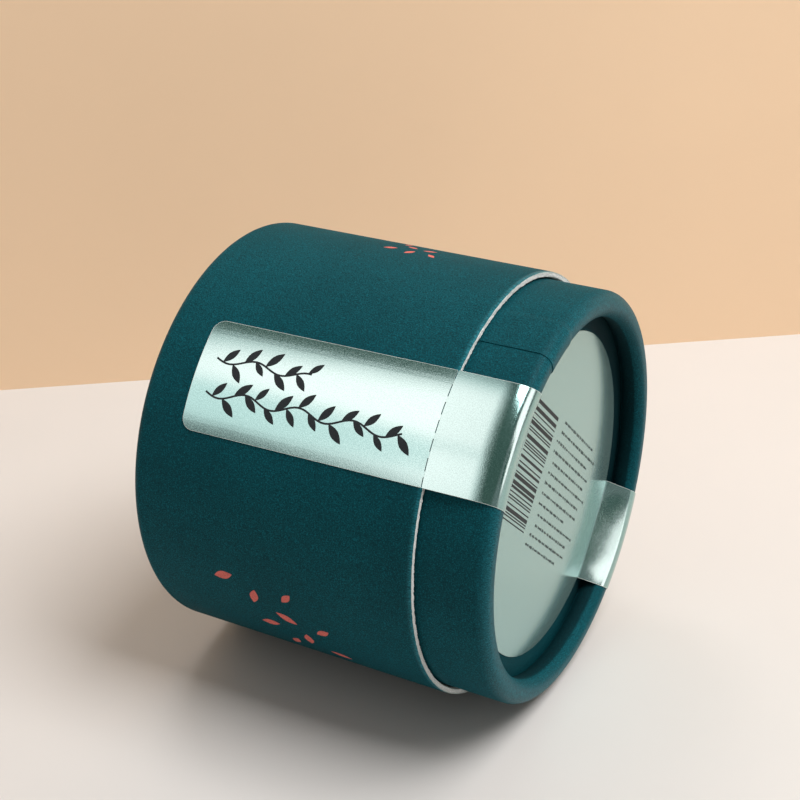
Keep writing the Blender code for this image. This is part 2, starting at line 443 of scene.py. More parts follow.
class Recipe(Nodes):
    """A material while its nodes are put together."""

    def __init__(self, name, roughness, metallic=0.0):
        self.material = bpy.data.materials.new(name)
        self.material.use_nodes = True
        super().__init__(self.material.node_tree)
        self.shader = self.tree.nodes["Principled BSDF"]
        self.shader.inputs["Roughness"].default_value = roughness
        self.shader.inputs["Metallic"].default_value = metallic

    def here(self):
        return self.add("TexCoord").outputs["Object"]

    def sheet_place(self, along_scale, round_scale):
        """The sheet's own coordinates, stretched by those two scales."""
        flat = self.add("UVMap", uv_map="Sheet").outputs["UV"]
        scale = (round_scale, along_scale, 1.0)
        return self.add("Mapping", {"Vector": flat, "Scale": scale}).outputs["Vector"]

    def from_axis(self):
        """Distance from the tube's axis."""
        above = self.vector("SUBTRACT", self.here(), (0.0, 0.0, tube().axis_height))
        across = self.vector("MULTIPLY", above.outputs["Vector"], (0.0, 1.0, 1.0))
        return self.vector("LENGTH", across.outputs["Vector"]).outputs["Value"]

    def wear_and_painted_light(self):
        """How far a wrap's ink is rubbed off or lit by a painted highlight, or below zero, how far
        a painted shade darkens it.
        """
        return self.add("Attribute", attribute_name="wear_and_painted_light").outputs["Fac"]

    def painted_corner_shade(self):
        """Painted shade on an end disc's paper where it meets the wall, strongest at the back."""
        to_back = self.spread(self.along(self.here(), (0.0, 1.0, 0.0)), *SHADE_TOWARD_BACK, 0.3, 1.0)
        return self.maths("MULTIPLY", self.spread(self.from_axis(), *CORNER, 0.0, -0.95), to_back)

    def bump(self, height, distance, strength=1.0, under=None):
        values = {"Height": height, "Distance": distance, "Strength": strength}
        if under:
            values["Normal"] = under
        return self.add("Bump", values).outputs["Normal"]

    def done(self, colour=None, normal=None, roughness=None):
        for name, value in (("Base Color", colour), ("Normal", normal), ("Roughness", roughness)):
            if value is not None:
                self.give(self.shader.inputs[name], value)
        return self.material


def shade(colour, factor):
    return tuple(min(1.0, part * factor) for part in colour)


def wrap_paper(name, wear_and_light_of):
    """Uncoated teal paper: cloudy ink, a fine grain, rubbed rims with a painted highlight, a
    painted shade in the crevices and a few white scuffs.
    """
    teal, rub_and_painted_light = colours().teal, colours().teal_rubbed_and_lit
    recipe = Recipe(name, 0.6)
    wear_and_painted_light = wear_and_light_of(recipe)
    recipe.shader.inputs["Specular IOR Level"].default_value = 0.08
    here = recipe.here()
    cloud = recipe.spread(recipe.speckle(here, 34, 3), 0.35, 0.65)
    grain = recipe.speckle(here, 4400, 2, 0.6)
    mottle = recipe.speckle(here, 950, 2)
    ink = recipe.mix(cloud, shade(teal, 0.86), shade(teal, 1.12))
    ink = recipe.mix(recipe.spread(grain, 0.34, 0.62), shade(teal, 0.5), ink)
    ink = recipe.mix(recipe.spread(grain, 0.50, 0.74, 0.0, 0.55), ink, shade(teal, 2.4))
    ink = recipe.mix(recipe.spread(mottle, 0.56, 0.78, 0.0, 0.08), ink, shade(teal, 2.0))
    streaks = recipe.speckle(recipe.sheet_place(1100, 5200), 1.0, 3, 0.65)
    # Rubbed ink at the mouth, and rubbing with a painted highlight on the rim's outer bend
    rub_and_highlight = recipe.maths("MULTIPLY", wear_and_painted_light, recipe.spread(streaks, 0.30, 0.72, 0.15, 1.0))
    ink = recipe.mix(recipe.spread(rub_and_highlight, 0.0, 1.0), ink, tuple(rub_and_painted_light))
    # Painted shade: below zero, in the rim's crevice and the end paper's corner, the ink darkens
    ink = recipe.mix(recipe.spread(wear_and_painted_light, 0.0, -0.9, 0.0, 0.85), ink, shade(teal, 0.12))
    scuffs = recipe.spread(recipe.speckle(here, 420, 4, 0.7), 0.735, 0.765, 0.0, 0.5)
    ink = recipe.mix(recipe.maths("MULTIPLY", scuffs, wear_and_painted_light), ink, (0.62, 0.70, 0.68))
    fibres = recipe.speckle(recipe.sheet_place(700, 2400), 1.0, 3, 0.6)
    normal = recipe.bump(grain, 0.00006, 0.55)
    normal = recipe.bump(fibres, 0.00004, 0.35, normal)
    roughness = recipe.spread(wear_and_painted_light, 0.03, 0.35, 0.72, 0.40)
    return recipe.done(ink, normal, roughness)


def paper_core(name):
    """The pale cut edge of a printed paper."""
    recipe = Recipe(name, 0.85)
    fibre = recipe.speckle(recipe.here(), 5200, 2)
    core = recipe.mix(fibre, shade(colours().paper_core, 0.72), tuple(colours().paper_core))
    return recipe.done(core, recipe.bump(fibre, 0.00004, 0.5))


def raw_board(name):
    """Wound board, with its fuzzy fibres where it is cut."""
    board = colours().board
    recipe = Recipe(name, 0.92)
    here = recipe.here()
    fuzz = recipe.speckle(here, 5200, 3, 0.65)
    lumps = recipe.speckle(here, 1500, 2)
    tone = recipe.mix(recipe.spread(fuzz, 0.3, 0.7), shade(board, 0.78), shade(board, 1.12))
    tone = recipe.mix(recipe.spread(lumps, 0.35, 0.65, 0.0, 0.4), tone, shade(board, 0.8))
    normal = recipe.bump(lumps, 0.00012, 0.6)
    normal = recipe.bump(fuzz, 0.00008, 0.7, normal)
    return recipe.done(tone, normal)


def lining_paper(name):
    """Uncoated white lining with a fine tooth and faint clouds."""
    liner = colours().liner
    recipe = Recipe(name, 0.78)
    here = recipe.here()
    tooth = recipe.speckle(here, 2400, 3, 0.6)
    cloud = recipe.speckle(here, 60, 2)
    tone = recipe.mix(recipe.spread(tooth, 0.3, 0.7), shade(liner, 0.93), tuple(liner))
    tone = recipe.mix(recipe.spread(cloud, 0.35, 0.7, 0.0, 0.35), tone, shade(liner, 0.88))
    return recipe.done(tone, recipe.bump(tooth, 0.00005, 0.4))


# Where the foil turns from the matter label to the bright band and tab: along the tube, where
# it comes up out of the recess, and away from its axis, where it goes down the outside
LABEL_TOP, LABEL_SIDE = (0.0343, 0.0347), (0.0360, 0.0400)


def mint_foil(name):
    """Satin mint foil laminated on paper, whose tooth shows through; matter on the label."""
    foil = colours().foil
    recipe = Recipe(name, 0.15, 1.0)
    here = recipe.here()
    tooth = recipe.speckle(here, 4600, 2, 0.5)
    swell = recipe.speckle(here, 190, 2)
    tone = recipe.mix(recipe.spread(tooth, 0.3, 0.7), shade(foil, 0.87), shade(foil, 1.08))
    normal = recipe.bump(swell, 0.0001, 0.05)
    normal = recipe.bump(tooth, 0.00002, 0.32, normal)
    roughness = recipe.spread(tooth, 0.3, 0.7, 0.11, 0.19)
    above_label = recipe.spread(recipe.along(here, (1.0, 0.0, 0.0)), *LABEL_TOP)
    beside_label = recipe.spread(recipe.from_axis(), *LABEL_SIDE)
    off_label = recipe.maths("MAXIMUM", above_label, beside_label)
    recipe.give(recipe.shader.inputs["Metallic"], recipe.spread(off_label, 0.0, 1.0, 0.7, 1.0))
    return recipe.done(tone, normal, roughness)


def ink(name, tint, roughness):
    """A printed ink: dense, with a little of the paper's tooth in it."""
    recipe = Recipe(name, roughness)
    recipe.shader.inputs["Specular IOR Level"].default_value = 0.12
    tooth = recipe.speckle(recipe.here(), 3000, 3, 0.6)
    tone = recipe.mix(recipe.spread(tooth, 0.3, 0.7), shade(tint, 0.8), shade(tint, 1.15))
    return recipe.done(tone, recipe.bump(tooth, 0.00002, 0.4))


FINISHES = {
    "teal_wrap_paper": lambda name: wrap_paper(name, Recipe.wear_and_painted_light),
    # The end paper carries a painted shade in its corner by the rim, stronger towards the back
    "teal_end_paper": lambda name: wrap_paper(name, Recipe.painted_corner_shade),
    "pale_paper_edge": paper_core,
    "raw_board": raw_board,
    "white_lining_paper": lining_paper,
    "mint_foil": mint_foil,
    "charcoal_ink": lambda name: ink(name, colours().charcoal, 0.45),
    "coral_ink": lambda name: ink(name, colours().coral, 0.6),
}


def finished(name):
    """The finished material of that name, made the first time that it is asked for."""
    return bpy.data.materials.get(name) or FINISHES[name](name)


# Wrap papers


WRAP_STEP = math.radians(0.75)
RIM_STEPS, WALL_STEPS = 9, 6
# Columns over which a wrap climbs on to its own start
CLIMB = 1.6
# How deep the mouths are crushed inwards, and over what length
CRUSH, CRUSH_LENGTH = 0.00012, 0.0014
# Distances from the mouth at which the wrap gets its first points
NEAR_MOUTH = (0.0, 0.00012, 0.0003, 0.0006, 0.001, 0.0015, 0.0022, 0.0035, 0.006)


def wrap_sheet(half):
    """One sheet of paper, rolled round the tube until it laps over its own start."""
    sizes = tube()
    near = NEAR_MOUTH[-1]
    rest = abs(half.crest - half.mouth) - half.outer - near
    straight = [*NEAR_MOUTH, *(near + rest * i / WALL_STEPS for i in range(1, WALL_STEPS))]
    line = rim_line(half, 0.0, RIM_STEPS, straight)
    raised = rim_line(half, -WRAP_AND_GLUE, RIM_STEPS, straight)
    spans = [math.dist(a, b) for a, b in zip(line, line[1:])]
    lengths = [sum(spans[:i]) for i in range(len(line))]
    full_turn = round(2 * math.pi / WRAP_STEP)
    lap = round(sizes.lap / half.skin / WRAP_STEP)
    columns = full_turn + lap
    first = around(half.seam) - lap * WRAP_STEP
    bm = bmesh.new()
    flat = bm.loops.layers.uv.new("Sheet")
    wear_and_light_layer = bm.verts.layers.float.new("wear_and_painted_light")
    places = grid(bm, columns, len(line) - 1)
    where = {}
    for (column, row), vert in places.items():
        rise = ease((column - full_turn + CLIMB) / CLIMB)
        radius, along = (a + (b - a) * rise for a, b in zip(line[row], raised[row]))
        angle = first + column * WRAP_STEP
        from_mouth = lengths[row]
        if column == columns:
            angle += wander((0, along, half.skin), size=0.006, reach=0.0012)
        if from_mouth < CRUSH_LENGTH:
            soft = (1 - from_mouth / CRUSH_LENGTH) ** 2
            spot = turned(radius, along, angle)
            radius -= soft * (CRUSH + wander(spot, size=0.0011, reach=0.00004))
            along += soft * half.toward * wander(spot, size=0.0007, reach=0.00008)
        vert.co = turned(radius, along, angle)
        # Rubbed ink, a painted highlight on the bend and, below zero, painted crevice shade
        vert[wear_and_light_layer] = rub_and_painted_light(half, radius, along, from_mouth)
        where[vert] = (column * WRAP_STEP * half.skin, from_mouth)
    for face in bm.faces:
        for loop in face.loops:
            loop[flat].uv = where[loop.vert]
    face_outwards(bm)
    return bm


# Share of the ink that is rubbed off at the mouth, on the bend and everywhere, with a painted
# highlight on the bend, and share by which a painted shade darkens it in the crevice
AT_MOUTH, RUB_AND_HIGHLIGHT_ON_BEND, EVERYWHERE, PAINTED_SHADE_IN_CREVICE = 0.75, 0.42, 0.03, 0.85
# Middle and spread of the rim's outer bend that is rubbed and carries a painted highlight, in
# degrees from the wall
RUB_AND_HIGHLIGHT_MIDDLE, RUB_AND_HIGHLIGHT_SPREAD = 78, 55
# Reach of the crevice's painted shade outwards from the leg's face and its depth under the crest,
# each with the length over which it fades
CREVICE_REACH, REACH_FADE = 0.0012, 0.0008
CREVICE_DEPTH, DEPTH_FADE = 0.0012, 0.0011


def rub_and_painted_light(half, radius, along, from_mouth):
    """How far the ink is rubbed off, most at the mouth and on the rim's outer bend, where a painted
    highlight adds to it.

    It is negative in the crevice at the rim's leg, where a painted shade darkens the ink.
    """
    at_mouth = 1 - ease(from_mouth / CRUSH_LENGTH)
    depth = abs(half.crest - along)
    bend_angle = math.degrees(math.atan2(half.outer - depth, radius - (half.skin - half.outer)))
    bend_rub_and_highlight = math.exp(-(((bend_angle - RUB_AND_HIGHLIGHT_MIDDLE) / RUB_AND_HIGHLIGHT_SPREAD) ** 2))
    near_leg = ease((throat(half) + CREVICE_REACH - radius) / REACH_FADE)
    painted_crevice_shade = near_leg * ease((depth - CREVICE_DEPTH) / DEPTH_FADE)
    return max(AT_MOUTH * at_mouth, RUB_AND_HIGHLIGHT_ON_BEND * bend_rub_and_highlight, EVERYWHERE) - PAINTED_SHADE_IN_CREVICE * painted_crevice_shade


class TUBE_OT_wraps(bpy.types.Operator):
    """Roll the cover's and the base's teal wrap papers"""

    bl_idname = "tube_box.wraps"
    bl_label = "Wrap Papers"

    def execute(self, context):
        for name in ("cover", "base"):
            piece = finish(
                name + "_paper", wrap_sheet(tube_half(name)), name, [name + "_wrap"],
                [finished("teal_wrap_paper"), finished("pale_paper_edge")],
            )
            thicken(piece, tube().wrap, -1.0)
            # The long edge of the lap is inked, so only the mouth shows the paper's core
            for face in piece.data.polygons:
                if abs(face.normal.x) < 0.5:
                    face.material_index = 0
        return {"FINISHED"}


# Boards and linings


# Each half's board: steps round it, and how far its torn fibres stand out
BOARDS = (("cover", 1100, 0.00013), ("base", 720, 0.00006))
BOARD_RIM_STEPS, CUT_STEPS = 5, 7
FRAY_DEPTH = 0.0003
LINER_STEPS, LINER_CHAMFER = 300, 0.00012


def spun(outline, steps):
    """A full turn of a closed (radius, along) outline about the tube's axis."""
    bm = bmesh.new()
    corners = [bm.verts.new((radius, 0.0, along)) for radius, along in outline]
    edges = [bm.edges.new(pair) for pair in zip(corners, corners[1:] + corners[:1])]
    bmesh.ops.spin(
        bm, geom=corners + edges, cent=(0, 0, 0), axis=(0, 0, 1), angle=2 * math.pi,
        steps=steps, use_merge=True,
    )
    bmesh.ops.remove_doubles(bm, verts=bm.verts, dist=MERGE)
    bmesh.ops.recalc_face_normals(bm, faces=bm.faces)
    return bm


def rolled_wall(outline, steps):
    """A closed wall from a flat grid that is rolled until both pairs of its edges meet."""
    bm = bmesh.new()
    for (column, row), vert in grid(bm, steps, len(outline)).items():
        radius, along = outline[row % len(outline)]
        vert.co = turned(radius, along, 2 * math.pi * (column % steps) / steps)
    bmesh.ops.remove_doubles(bm, verts=bm.verts, dist=MERGE)
    bmesh.ops.recalc_face_normals(bm, faces=bm.faces)
    return bm


def board_tube(half, steps, fuzz):
    """Wound board rolled in with the rim; its cut mouth is rough with torn fibres."""
    straight = (0.0, 0.0002, 0.0006, CRUSH_LENGTH, abs(half.crest - half.mouth) * 0.5)
    outside = rim_line(half, WRAP_AND_GLUE, BOARD_RIM_STEPS, straight)
    inside = rim_line(half, WRAP_AND_GLUE + half.board, BOARD_RIM_STEPS, straight)
    bore, wall = inside[0][0], outside[0][0] - inside[0][0]
    cut = [(bore + wall * i / CUT_STEPS, half.mouth) for i in range(1, CUT_STEPS)]
    bm = rolled_wall(outside + inside[::-1] + cut, steps)
    for vert in bm.verts:
        from_mouth = abs(vert.co.z - half.mouth)
        if from_mouth >= CRUSH_LENGTH:
            continue
        spot = vert.co.copy()
        radius = math.hypot(spot.x, spot.y)
        near_paper = ease((radius - bore) / half.board)
        crushed = 1 - near_paper * CRUSH * (1 - from_mouth / CRUSH_LENGTH) ** 2 / radius
        vert.co.x *= crushed
        vert.co.y *= crushed
        if from_mouth < FRAY_DEPTH:
            fibres = wander(spot, size=0.00042, reach=fuzz)
            lumps = wander(spot, size=0.0016, reach=0.6 * fuzz)
            vert.co.z += (1 - from_mouth / FRAY_DEPTH) * (fibres + lumps)
    return bm


class TUBE_OT_boards(bpy.types.Operator):
    """Wind the two board tubes, with raw cut mouths"""

    bl_idname = "tube_box.boards"
    bl_label = "Board Tubes"

    def execute(self, context):
        for name, steps, fuzz in BOARDS:
            finish(
                name + "_board", board_tube(tube_half(name), steps, fuzz), name,
                [name + "_board_tube"], [finished("raw_board")],
            )
        return {"FINISHED"}


def liner_tube(name):
    """The inner paper ply, from the mouth to the end disc."""
    half, sizes = tube_half(name), tube()
    bore = sizes.cover_liner_bore if name == "cover" else sizes.base_liner_bore
    node = name + "_liner"
    inner_end = lowest_x(node) if name == "cover" else highest_x(node)
    end = inner_end - sizes.joint_x
    start, soft = half.mouth + half.toward * sizes.liner_back, half.toward * LINER_CHAMFER
    outline = [
        (bore + sizes.liner, start), (bore + sizes.liner, end), (bore, end),
        (bore, start + soft), (bore + 0.3 * sizes.liner, start),
    ]
    return spun(outline, LINER_STEPS)


class TUBE_OT_linings(bpy.types.Operator):
    """Line both halves and finish the layers of their recessed ends"""

    bl_idname = "tube_box.linings"
    bl_label = "Linings and Ends"

    def execute(self, context):
        for name in ("cover", "base"):
            finish(
                name + "_lining", liner_tube(name), name, [name + "_liner"],
                [finished("white_lining_paper")],
            )
            for suffix, material in (
                ("_end_facing", "teal_end_paper"),
                ("_end_disc", "raw_board"),
                ("_end_lining", "white_lining_paper"),
            ):
                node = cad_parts[name + suffix]
                node.data.materials.clear()
                node.data.materials.append(finished(material))
        return {"FINISHED"}


# Foil seal


# Points across the seal, across each half of the label beside it, and along the seal's parts
SEAL_COLUMNS, SIDE_COLUMNS = 24, 9
PANEL_ROWS, LABEL_ROWS, BEND_ROWS, INNER_ROWS, OUTER_ROWS = 22, 80, 7, 8, 12
# The seal lies off its place at the joint, and a little askew from there on: by so much per
# length on the cover, on the label, and on the band until its drift is that of the rim
OFF_PLACE, PANEL_SKEW, LABEL_SKEW, BAND_SKEW = 0.0001, 0.0112, 0.0105, 0.024
RIM_DRIFT = 0.0004
# Width of the hair-thin bare line along the die-cut edges, and what the torn ties leave free
BARE, TIE_GAP = 0.00005, 0.00002
# The last row before a fold stands this far from it; label points nearer than the second are one
BEFORE_FOLD, LABEL_MERGE = 0.0002, 1e-6
# The stiff band bulges between the rim and the cover: radius, first and last angle of each bend
BAND_BENDS = (
    (0.0032, math.radians(60), math.radians(38)),
    (0.0040, math.radians(38), math.radians(20)),
    (0.0070, math.radians(20), math.radians(11)),
    (0.0240, math.radians(11), math.radians(4.8)),
)
# Places of the rows: over the gap between label and rim, down the band's straight part, and down
# the tab
BRIDGE_SHARES = (0.0, 0.04, 0.14, 0.27, 0.4, 0.54, 0.68, 0.82, 0.93)
BAND_SHARES = (0.06, 0.15, 0.3, 0.45, 0.6, 0.75, 0.88, 0.97, 1.0)
TAB_SHARES = (0.15, 0.35, 0.55, 0.72, 0.84, 0.92, 0.97, 1.0)

# A row of points across the seal. side is +1 for the band, -1 for the tab and 0 for the label. On
# the label, flat is its distance from the middle; on the bends, radius and along give its place;
# between the two, share does.
Row = namedtuple("Row", "side radius along flat share")


def panel_drift(along):
    """How far the seal was laid askew at that place on the cover."""
    return -OFF_PLACE - PANEL_SKEW * along


def seal_point(radius, along, across, side=1):
    """A point of the seal: straight-sided along its length, round with what it is stuck to."""
    reach = side * math.sqrt(radius**2 - across**2)
    return Matrix.Rotation(around(seal().angle), 3, "Z") @ Vector((reach, across, along))


def label_point(v, across, height):
    """A point on the recessed end: v runs from the tab towards the band."""
    spot = Vector((v, across - LABEL_SKEW * v, height))
    return Matrix.Rotation(around(seal().angle), 3, "Z") @ spot


def bare_edges(bm, covered):
    """Leaves the paper bare along the die-cut edges, except at places that covered names."""
    margin = bmesh.ops.inset_region(
        bm, faces=bm.faces[:], thickness=BARE, use_boundary=True, use_even_offset=True
    )
    for face in margin["faces"]:
        if not covered(face.calc_center_median()):
            face.material_index = 1


def seal_columns():
    """Distances across the seal at which its sheets have a column of points."""
    width = seal().width
    return [width * (i / SEAL_COLUMNS - 0.5) for i in range(SEAL_COLUMNS + 1)]


def cut_at(bm, places, normal):
    """Cuts flat art across at each of those places along a direction."""
    for place in places:
        bmesh.ops.bisect_plane(
            bm,
            geom=bm.verts[:] + bm.edges[:] + bm.faces[:],
            plane_co=normal * place,
            plane_no=normal,
            dist=MERGE,
        )


def tie_spans():
    """Spans across the seal where paper still ties the panel to the band."""
    tie = seal().tie_length
    middles = [(i + 0.5) * (seal().cut_length + tie) for i in range(-3, 3)]
    return [(middle - tie / 2, middle + tie / 2) for middle in middles]


def seal_panel_sheet():
    """The panel on the cover: two rounded corners at one end, torn ties at the other."""
    sizes, skin = seal(), tube().cover_radius
    near = -sizes.over_cover - sizes.cut
    bm = bmesh.new()
    bmesh.ops.create_grid(bm, x_segments=1, y_segments=1, size=0.5)
    bmesh.ops.scale(bm, vec=(sizes.width, sizes.panel, 1), verts=bm.verts)
    bmesh.ops.translate(bm, vec=(0, near - sizes.panel / 2, 0), verts=bm.verts)
    corners = [vert for vert in bm.verts if vert.co.y < near - sizes.panel / 2]
    bmesh.ops.bevel(
        bm, geom=corners, affect="VERTICES", offset=sizes.corner, offset_type="OFFSET",
        segments=10, profile=0.5, material=-1,
    )
    edges_of_ties = [place for span in tie_spans() for place in span]
    cut_at(bm, seal_columns()[1:-1] + edges_of_ties, Vector((1, 0, 0)))
    rows = [near - sizes.panel * i / PANEL_ROWS for i in range(1, PANEL_ROWS)]
    cut_at(bm, rows, Vector((0, 1, 0)))
    bare_edges(bm, lambda spot: spot.y > near - 2 * BARE)
    tied = [
        edge
        for edge in bm.edges
        if all(abs(vert.co.y - near) < MERGE for vert in edge.verts)
        and any(low < sum(v.co.x for v in edge.verts) / 2 < high for low, high in tie_spans())
    ]
    torn = bmesh.ops.extrude_edge_only(bm, edges=tied)["geom"]
    ends = [item for item in torn if isinstance(item, bmesh.types.BMVert)]
    bmesh.ops.translate(bm, vec=(0, sizes.cut - TIE_GAP, 0), verts=ends)
    for vert in bm.verts:
        across, along = vert.co.x, vert.co.y
        lift = sizes.lift + abs(wander((across, along, 1.0), size=0.009, reach=0.00002))
        vert.co = seal_point(skin + lift, along, across + panel_drift(along))
    face_outwards(bm)
    return bm


def tangent(centre, radius, point):
    """Angle at which a taut sheet from a point touches a bend."""
    towards = math.atan2(point[1] - centre[1], point[0] - centre[0])
    return towards - math.acos(radius / math.dist(centre, point))


def onward(start, radius, first, last, steps):
    """Carries a line on from a point round a bend of that radius."""
    angles = [first + (last - first) * i / steps for i in range(1, steps + 1)]
    return [
        (
            start[0] + radius * (math.cos(angle) - math.cos(first)),
            start[1] + radius * (math.sin(angle) - math.sin(first)),
        )
        for angle in angles
    ]


def end_label_rows():
    """Rows of the seal from the end of its tab over the label to the perforation."""
    sizes, half = seal(), tube_half("base")
    label_height = half.face + sizes.lift
    outer_centre = half.skin - half.outer
    inner_centre = throat(half) + half.inner
    hinge = (tube().cover_radius + sizes.lift, -sizes.over_cover)
    leaves_rim = tangent(
        (inner_centre, half.crest - half.inner), half.inner + sizes.lift,
        (sizes.fold, label_height),
    ) % (2 * math.pi)

    def over_rim(last):
        """Up from the recess, over the rim's crest and down its outer bend."""
        crest = math.pi / 2
        inner, outer = half.inner + sizes.lift, half.outer + sizes.lift
        return [
            *arc(half, inner_centre, half.inner, inner, leaves_rim, crest, INNER_ROWS),
            *arc(half, outer_centre, half.outer, outer, crest, last, OUTER_ROWS),
        ]

    def side_rows(side, line):
        bridge = [Row(side, None, None, None, share) for share in BRIDGE_SHARES]
        return bridge + [Row(side, radius, along, None, None) for radius, along in line]

    band = over_rim(BAND_BENDS[0][1])
    for bend in BAND_BENDS:
        band += onward(band[-1], *bend, BEND_ROWS)
    last = band[-1]
    band += [tuple(a + (b - a) * share for a, b in zip(last, hinge)) for share in BAND_SHARES]
    tab = over_rim(0.0)
    base_level = half.skin + sizes.lift
    tab_end = half.crest - sizes.tab_drop
    tab_start = half.crest - half.outer
    tab += [(base_level, tab_start + (tab_end - tab_start) * share) for share in TAB_SHARES]

    open_angle = math.acos(sizes.width / 2 / sizes.label_radius)
    angles = [open_angle * (2 * i / LABEL_ROWS - 1) for i in range(LABEL_ROWS + 1)]
    flats = [sizes.label_radius * math.sin(angle) for angle in angles]
    before_fold = sizes.fold - BEFORE_FOLD
    label = [Row(0, None, None, flat, None) for flat in (-before_fold, *flats, before_fold)]
    return side_rows(-1, tab)[::-1] + label + side_rows(1, band)


def end_label_sheet():
    """One die-cut sheet: the tab, the round label with its two folds, and the taut band."""
    sizes, half = seal(), tube_half("base")
    rows = end_label_rows()
    label_height = half.face + sizes.lift
    half_width = sizes.width / 2
    columns = SEAL_COLUMNS + 2 * SIDE_COLUMNS
    bm = bmesh.new()
    places = grid(bm, columns, len(rows) - 1)
    spare = []
    for (column, index), vert in places.items():
        row = rows[index]
        beyond = max(SIDE_COLUMNS - column, column - SIDE_COLUMNS - SEAL_COLUMNS)
        if beyond > 0:
            from_middle = sizes.label_radius if row.flat is None else abs(row.flat)
            chord = math.sqrt(max(sizes.label_radius**2 - from_middle**2, 0.0))
            if chord < half_width - LABEL_MERGE:
                spare.append(vert)
                continue
            across = half_width + (chord - half_width) * beyond / SIDE_COLUMNS
            across *= 1 if column > SIDE_COLUMNS else -1
            vert.co = label_point(row.flat, across, label_height)
            continue
        across = sizes.width * ((column - SIDE_COLUMNS) / SEAL_COLUMNS - 0.5)
        if row.side < 0 and row.along is not None:
            to_end = row.along - (half.crest - sizes.tab_drop)
            if to_end < sizes.corner:
                cut_back = sizes.corner - math.sqrt(sizes.corner**2 - (sizes.corner - to_end) ** 2)
                across *= 1 - cut_back / half_width
        vert.co = end_label_point(row, rows, across, label_height)
    bmesh.ops.delete(bm, geom=spare, context="VERTS")
    bmesh.ops.remove_doubles(bm, verts=bm.verts, dist=LABEL_MERGE)
    bare_edges(bm, lambda spot: spot.z < 2 * BARE or abs(spot.z - label_height) < 0.00001)
    face_outwards(bm, away_from_axis=False)
    return bm


def end_label_point(row, rows, across, label_height):
    """A point of the end label's sheet, on its flat, on the bends or between the two."""
    sizes = seal()
    if row.flat is not None:
        return label_point(row.flat, across, label_height)
    drift = -RIM_DRIFT * row.side
    if row.radius is not None:
        if row.side > 0:
            drift = max(drift, -OFF_PLACE - BAND_SKEW * max(row.along, 0.0))
        return seal_point(row.radius, row.along, across + drift, row.side)
    foot = label_point(sizes.fold * row.side, across, label_height)
    bends = [bend for bend in rows if bend.side == row.side and bend.radius is not None]
    first = bends[0] if row.side > 0 else bends[-1]
    head = seal_point(first.radius, first.along, across + drift, row.side)
    spot = foot.lerp(head, row.share)
    slack = math.sin(math.pi * row.share)
    place = (across, row.share * 0.012, 2.0 * row.side)
    spot.z += slack * wander(place, size=0.003, reach=0.00004)
    # The tab stands out more at one of its edges
    if row.side < 0:
        spot.z += slack * sizes.bow * (1 - 1.6 * across / sizes.width)
    return spot


class TUBE_OT_seal(bpy.types.Operator):
    """Lay the die-cut foil seal over the cover, the joint, the rim and the recessed end"""

    bl_idname = "tube_box.seal"
    bl_label = "Foil Seal"

    def execute(self, context):
        finishes = [finished("mint_foil"), finished("pale_paper_edge")]
        for name, bm, body, node in (
            ("foil_panel", seal_panel_sheet(), "cover", "seal_panel"),
            ("foil_end_label", end_label_sheet(), "base", "seal_end_label"),
        ):
            thicken(finish(name, bm, body, [node], finishes), seal().thickness, 1.0)
        return {"FINISHED"}


# Print


# Gap under a print, what keeps the vine clear of the panel's unevenness, and the ink's thickness
PRINT_LIFT, VINE_LIFT, INK = 0.000015, 0.00001, 0.00001
# Rows of vine on the panel: place across it, start and end along it, sway and leaf length
VINES = (
    (-0.0036, -0.0498, -0.0285, 0.0008, 0.0042),
    (0.0034, -0.0498, -0.0065, 0.0009, 0.0044),
)
VINE_STEP, VINE_WAVE, VINE_WIDTH, LEAF_SHARE = 0.0008, 0.42, 0.0004, 0.36
# Place and widths of the bars on the end label
BARS_ACROSS, BARS_ALONG = (-0.0138, 0.0108), (0.0103, 0.0246)
BAR_WIDTHS = (0.00026, 0.00026, 0.00052, 0.00078)
BAR_GAPS = (0.00026, 0.00052, 0.00052, 0.00078)
# Rows of dashes on the end label, and the gaps between dashes and between words
DASH_ROWS, DASH_PITCH, DASHES_ACROSS = 13, 0.0022, -0.0142
DASH_GAP, WORD_GAP = 0.00018, 0.00045
# Seeds on the cover: degrees above the horizontal, place along it, tilt in degrees and length
SEEDS = (
    (-14, -0.0435, 20, 0.0048), (-19, -0.0370, 75, 0.0044), (-25, -0.0305, -30, 0.0050),
    (-16, -0.0290, 50, 0.0036), (-30, -0.0355, 10, 0.0046), (-34, -0.0275, 85, 0.0048),
    (-27, -0.0225, 35, 0.0040), (-40, -0.0215, -15, 0.0048), (-39, -0.0320, 60, 0.0042),
    (99, -0.0325, 30, 0.0030), (104, -0.0292, -20, 0.0028), (98, -0.0276, 65, 0.0030),
    (103, -0.0248, 20, 0.0030), (108, -0.0318, 80, 0.0026), (98, -0.0226, -40, 0.0026),
)
SEED_SHARE = 0.44
# Distance between the cuts at which the seeds bend round the cover
BEND_STEP = 0.0008


def leaf(bm, across, along, angle, long, wide):
    """A pointed leaf in flat art."""
    shape = bmesh.ops.create_circle(bm, cap_ends=True, segments=20, radius=1.0)["verts"]
    for vert in shape:
        vert.co.x *= (1 - abs(vert.co.y) ** 1.6) ** 0.5 + 0.02
    place = (
        Matrix.Translation((across, along, 0))
        @ Matrix.Rotation(angle, 4, "Z")
        @ Matrix.Diagonal((wide / 2, long / 2, 1, 1))
    )
    bmesh.ops.transform(bm, matrix=place, verts=shape)


